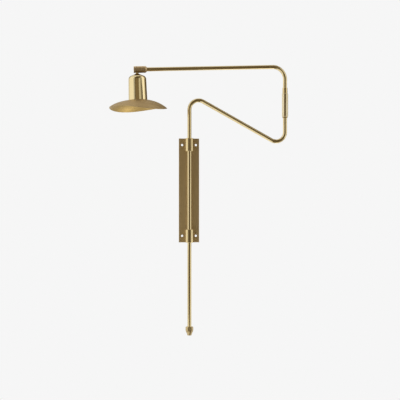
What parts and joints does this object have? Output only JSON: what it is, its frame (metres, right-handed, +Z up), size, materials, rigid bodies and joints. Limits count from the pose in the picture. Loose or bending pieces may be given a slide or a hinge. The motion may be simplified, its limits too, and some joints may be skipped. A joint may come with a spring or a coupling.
{
  "type": "swing arm wall lamp",
  "caption": "Brass wall lamp whose bent mast turns and slides in a wall plate's collars, with a jointed upper arm and a small dished shade.",
  "frame": {"origin": "middle of the wall plate's back face, where the lamp meets the wall", "axes": "+X to the right as seen from the room, +Y into the wall, +Z up"},
  "size_m": [0.4668, 0.1501, 0.7047],
  "materials": {
    "plate_brass": "brushed, darkened",
    "collar_brass": "satin turned",
    "tube_brass": "satin polished",
    "cup_brass": "polished",
    "shade_brass": "satin spun",
    "dark_brass": "satin, darkened",
    "contact_brass": "plain",
    "steel": "zinc plated",
    "nylon": "moulded",
    "phenolic": "moulded",
    "rubber": "matt"
  },
  "bodies": {
    "wall_bracket": {"wall_plate": "plate_brass", "upper_collar": "collar_brass", "lower_collar": "collar_brass", "collar_screws": "steel"},
    "bushes": {"upper_bush": "nylon", "lower_bush": "nylon"},
    "mast": {"mast_arm": "tube_brass", "gland_body": "collar_brass", "gland_seal": "rubber", "gland_nut": "collar_brass", "elbow_stem": "steel", "elbow_washer": "dark_brass", "stem_washer": "steel", "stem_nut": "steel"},
    "boom": {"elbow_sleeve": "collar_brass", "elbow_bush": "nylon", "elbow_ferrule": "dark_brass", "upper_arm": "tube_brass", "arm_spindle": "steel", "spring_washer": "steel", "knuckle_cap": "dark_brass"},
    "head": {"knuckle": "dark_brass", "neck": "dark_brass", "cup": "cup_brass", "cup_nut": "steel", "holder_cap": "phenolic", "lampholder": "phenolic", "screw_shell": "contact_brass", "centre_contact": "contact_brass", "shade_ring": "collar_brass", "shade": "shade_brass"}
  },
  "joints": [
    {"name": "mast_turn", "type": "hinge", "parent": "wall_bracket", "child": "bushes", "pos_m": [0, -0.01625, 0], "axis": [0, 0, 1], "range_deg": [-180, 0]},
    {"name": "mast_slide", "type": "slide", "parent": "bushes", "child": "mast", "axis": [0, 0, 1], "range_m": [-0.0735, 0.2175]},
    {"name": "elbow_turn", "type": "hinge", "parent": "mast", "child": "boom", "pos_m": [0.251, -0.01625, 0.19276], "axis": [0, 0, 1], "range_deg": [-160, 160]},
    {"name": "head_tilt", "type": "hinge", "parent": "boom", "child": "head", "pos_m": [-0.13582, -0.01625, 0.31223], "axis": [0.9995, 0, 0.0305], "range_deg": [-90, 90]}
  ]
}
